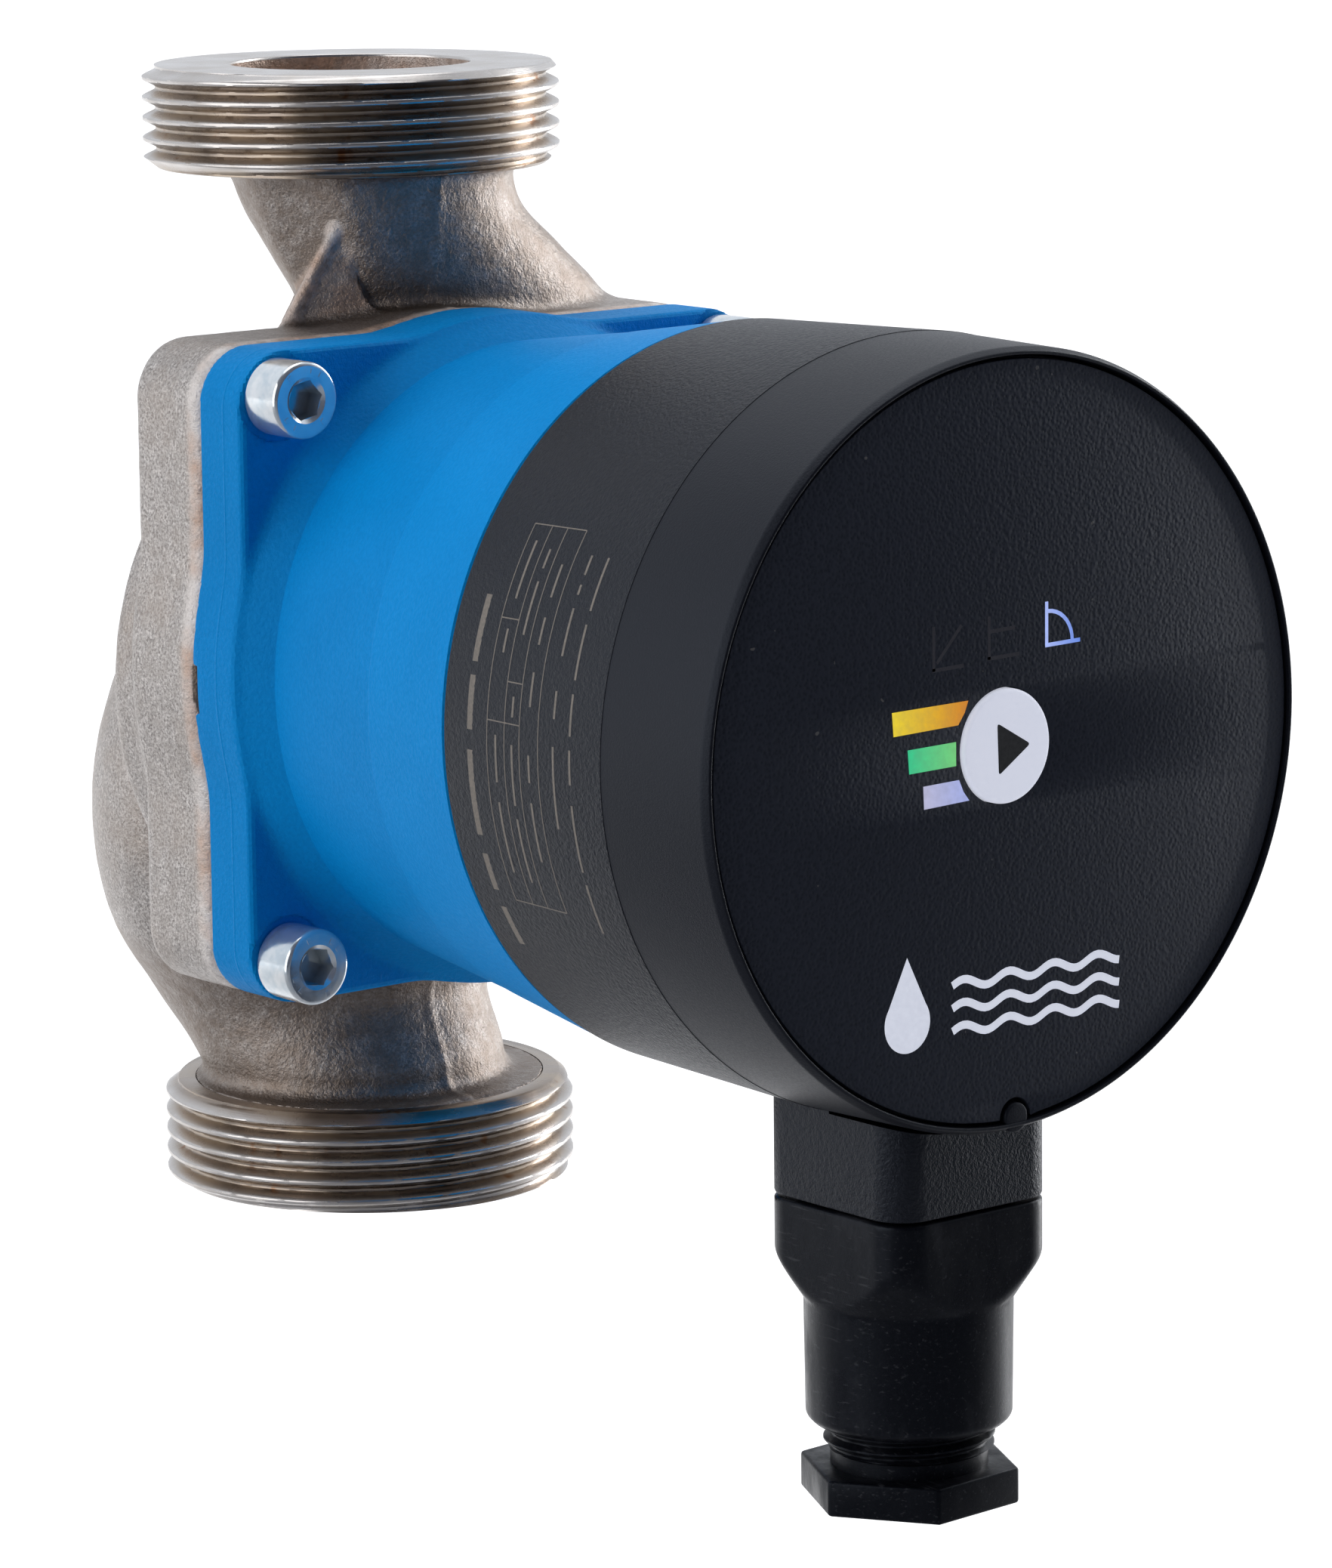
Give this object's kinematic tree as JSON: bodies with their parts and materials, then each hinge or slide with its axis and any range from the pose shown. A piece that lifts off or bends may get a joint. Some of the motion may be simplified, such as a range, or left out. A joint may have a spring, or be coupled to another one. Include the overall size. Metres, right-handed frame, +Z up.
{
  "type": "circulator pump",
  "caption": "Inline hot-water circulator pump with two threaded ports, a round blue motor housing, a black control head with button, and a cable plug.",
  "frame": {"origin": "centre of the lower port's sealing face, on the pipe axis", "axes": "+Z up along the pipe axis to the upper port, -Y along the motor axis towards the display, +X to the right when facing the display"},
  "size_m": [0.0828, 0.1419, 0.1487],
  "materials": {
    "cast_alloy": "as cast, matte, machined at the threads",
    "blue_paint": "satin powder coat",
    "zinc_plate": "bright zinc plate",
    "stainless": "drawn sheet",
    "electrical_steel": "laminated",
    "magnet": "sintered",
    "enamelled_copper": "enamelled wire",
    "brass": "stamped",
    "ceramic": "ground",
    "carbon": "pressed carbon",
    "rubber": "moulded EPDM",
    "black_plastic": "spark-textured moulding",
    "display_foil": "fine-grained foil",
    "white_plastic": "moulded",
    "impeller_plastic": "glass-filled",
    "circuit_board": "solder resist",
    "light_guide": "clear moulding",
    "tin_plate": "tin plate"
  },
  "bodies": {
    "root": {"bar_light_guide_1": "light_guide", "bar_light_guide_2": "light_guide", "bar_light_guide_3": "light_guide", "bearing_plate": "stainless", "board_header": "black_plastic", "box_gasket": "rubber", "button_switch": "black_plastic", "control_front_ring": "black_plastic", "control_rear_shell": "black_plastic", "display_board": "circuit_board", "display_carrier": "black_plastic", "display_disc": "display_foil", "filter_choke": "enamelled_copper", "flange_bolt_1": "zinc_plate", "flange_bolt_2": "zinc_plate", "flange_bolt_3": "zinc_plate", "flange_bolt_4": "zinc_plate", "front_bearing": "ceramic", "housing_gasket": "rubber", "icon_light_guide": "light_guide", "mains_relay": "white_plastic", "motor_lead_guide": "white_plastic", "neck_ring": "stainless", "power_board": "circuit_board", "power_module": "carbon", "pump_housing": "cast_alloy", "rear_bearing": "ceramic", "rear_bearing_holder": "stainless", "rotor_can": "stainless", "smoothing_capacitor": "electrical_steel", "socket_pin_1": "tin_plate", "socket_pin_2": "tin_plate", "socket_pin_3": "tin_plate", "stator_coil_1": "enamelled_copper", "stator_coil_2": "enamelled_copper", "stator_coil_3": "enamelled_copper", "stator_coil_4": "enamelled_copper", "stator_coil_5": "enamelled_copper", "stator_coil_6": "enamelled_copper", "stator_core": "electrical_steel", "stator_housing": "blue_paint"},
    "rotor": {"impeller": "impeller_plastic", "impeller_shroud": "impeller_plastic", "shaft": "ceramic", "thrust_washer": "carbon", "rotor_core": "electrical_steel", "rotor_sleeve": "stainless", "rotor_magnet_1": "magnet", "rotor_magnet_2": "magnet", "rotor_magnet_3": "magnet", "rotor_magnet_4": "magnet"},
    "button": {"mode_button": "white_plastic"},
    "plug": {"plug_body": "black_plastic", "cable_seal": "rubber", "plug_contact_1": "brass", "plug_contact_2": "brass", "plug_contact_3": "brass"},
    "gland_carrier": {"gland_washer": "zinc_plate"},
    "gland": {"gland_screw": "black_plastic"}
  },
  "joints": [
    {"name": "rotor_spin", "type": "hinge", "parent": "root", "child": "rotor", "pos_m": [0, 0, 0.065], "axis": [0, -1, 0], "continuous": true},
    {"name": "button_press", "type": "slide", "parent": "root", "child": "button", "axis": [0, 1, 0], "range_m": [0, 0.0008], "stiffness_N_per_m": 2500},
    {"name": "plug_pull", "type": "slide", "parent": "root", "child": "plug", "axis": [0, 0, -1], "range_m": [0, 0.03]},
    {"name": "gland_travel", "type": "slide", "parent": "plug", "child": "gland_carrier", "axis": [0, 0, 1], "range_m": [-0.00564, 0.00423]},
    {"name": "gland_turn", "type": "hinge", "parent": "gland_carrier", "child": "gland", "pos_m": [0, -0.0957, 0], "axis": [0, 0, 1], "range_deg": [-1442, 1082]}
  ],
  "couplings": [
    {"joint": "gland_turn", "follows": "gland_travel", "rad_per_m": 4456.2}
  ]
}
